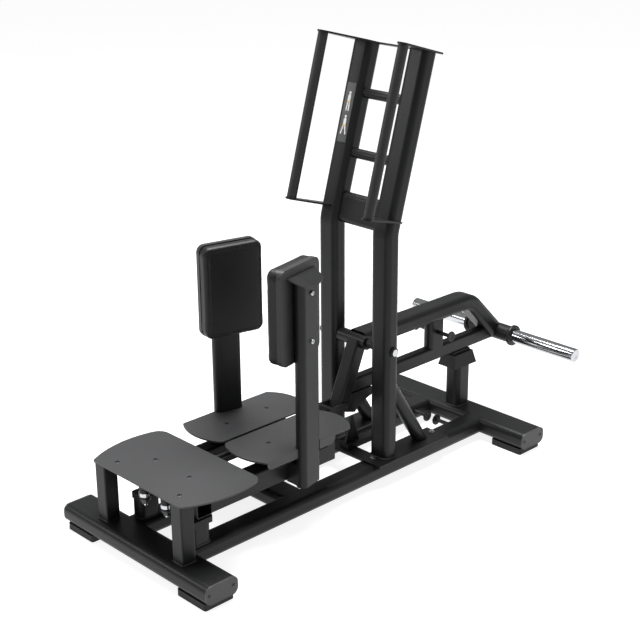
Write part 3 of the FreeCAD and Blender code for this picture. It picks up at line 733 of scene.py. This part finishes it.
def flat_shape(kind, x, y, width, height, tilt, lift):
    """Thin printed shape on the strip: a disc or a round-ended bar, x across and y up it."""
    bpy.ops.object.select_all(action="DESELECT")
    if kind == "disc":
        bpy.ops.mesh.primitive_cylinder_add(vertices=24, radius=width / 2, depth=ink_t)
    else:
        bpy.ops.mesh.primitive_cube_add(size=1, scale=(width, height, ink_t))
        bpy.ops.object.transform_apply(location=False, rotation=False, scale=True)
        bar = bpy.context.object
        bpy.ops.object.mode_set(mode="EDIT")
        bpy.ops.mesh.select_mode(type="EDGE")
        bpy.ops.mesh.select_all(action="DESELECT")
        bpy.ops.object.mode_set(mode="OBJECT")
        for edge in bar.data.edges:
            first, second = (bar.data.vertices[i].co for i in edge.vertices)
            edge.select = abs(first.z - second.z) > ink_t / 2
        bpy.ops.object.mode_set(mode="EDIT")
        bpy.ops.mesh.bevel(offset=min(width, height) * 0.45, segments=4, affect="EDGES")
        bpy.ops.object.mode_set(mode="OBJECT")
    shape = bpy.context.object
    flat = Matrix.Translation((x, y, strip_t / 2 + lift)) @ Matrix.Rotation(tilt, 4, "Z")
    shape.matrix_world = on_strip @ flat
    choose_only(shape)
    bpy.ops.object.transform_apply(location=True, rotation=True, scale=True)
    return shape


bpy.ops.object.select_all(action="DESELECT")
bpy.ops.mesh.primitive_cube_add(size=1, scale=(strip_w, strip_len, strip_t))
strip = bpy.context.object
bpy.ops.object.transform_apply(location=False, rotation=False, scale=True)
apply_modifier(strip, "BEVEL", width=0.0005, segments=2, limit_method="ANGLE")
strip.matrix_world = on_strip
settle(strip, "placard_strip", "frame", placard_film)
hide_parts("placard")
figures = []
joints_marked = []
head_d = 0.009
hip_d = 0.006
for row, stance in ((0.040, 0.06), (-0.038, 0.24)):
    figures.append(flat_shape("disc", 0, row + 0.025, head_d, head_d, 0, low_lift))
    figures.append(flat_shape("bar", 0, row + 0.007, 0.012, 0.026, 0, low_lift))
    for side in (-1, 1):
        leg_x = side * (0.0035 + 0.014 * sin(stance))
        figures.append(flat_shape("bar", leg_x, row - 0.019, 0.0052, 0.031, side * stance, low_lift))
        joints_marked.append(flat_shape("disc", side * 0.0045, row - 0.004, hip_d, hip_d, 0, high_lift))
settle(joined(*figures), "placard_figures", "frame", figure_ink)
settle(joined(*joints_marked), "placard_marks", "frame", amber_ink)

# ---- Camera, floor and light ----
# The machine stands on a plain white studio floor that glows a little, so that it stays
# evenly pale, under one large soft light from above and two weaker ones from the sides.
bpy.ops.object.select_all(action="DESELECT")
camera_data = bpy.data.cameras.new("camera")
camera_data.lens = 77.76
camera_yaw = radians(46.15)
camera_tilt = radians(90 - 20.63)
camera_roll = radians(-0.39)
camera = bpy.data.objects.new("camera", camera_data)
bpy.context.scene.collection.objects.link(camera)
turn = Matrix.Rotation(camera_yaw, 4, "Z") @ Matrix.Rotation(camera_tilt, 4, "X")
roll = Matrix.Rotation(camera_roll, 4, "Z")
camera.matrix_world = Matrix.Translation((3.0440, -3.0045, 2.1834)) @ turn @ roll
bpy.context.scene.camera = camera

bpy.ops.mesh.primitive_plane_add(size=60)
floor = bpy.context.object
floor.name = "studio_floor"
floor_finish, wire, shader, place = new_finish("studio_floor", Roughness=0.9, Emission_Strength=0.85)
shader.inputs["Emission Color"].default_value = (1.0, 1.0, 1.0, 1.0)
drift = noise(wire, place, 3.0)
wire.feed(shader.inputs["Base Color"], mix(wire, drift, (0.34, 0.34, 0.34), (0.36, 0.36, 0.36)))
floor.data.materials.append(floor_finish)

world = bpy.data.worlds.new("studio")
world.use_nodes = True
world.node_tree.nodes["Background"].inputs["Color"].default_value = (1.0, 1.0, 1.0, 1.0)
world.node_tree.nodes["Background"].inputs["Strength"].default_value = 0.3
bpy.context.scene.world = world
bpy.context.scene.view_settings.view_transform = "Standard"
for name, spot, size, power in (
    ("top_light", (-0.6, 0.4, 4.4), 2.6, 430),
    ("left_light", (-3.2, -3.6, 3.0), 1.4, 60),
    ("right_light", (4.4, 1.6, 2.6), 1.2, 22),
):
    lamp = bpy.data.lights.new(name, "AREA")
    lamp.size = size
    lamp.energy = power
    light = bpy.data.objects.new(name, lamp)
    light.location = spot
    light.rotation_euler = (Vector((0, 0, 0.6)) - Vector(spot)).to_track_quat("-Z", "Y").to_euler()
    bpy.context.scene.collection.objects.link(light)
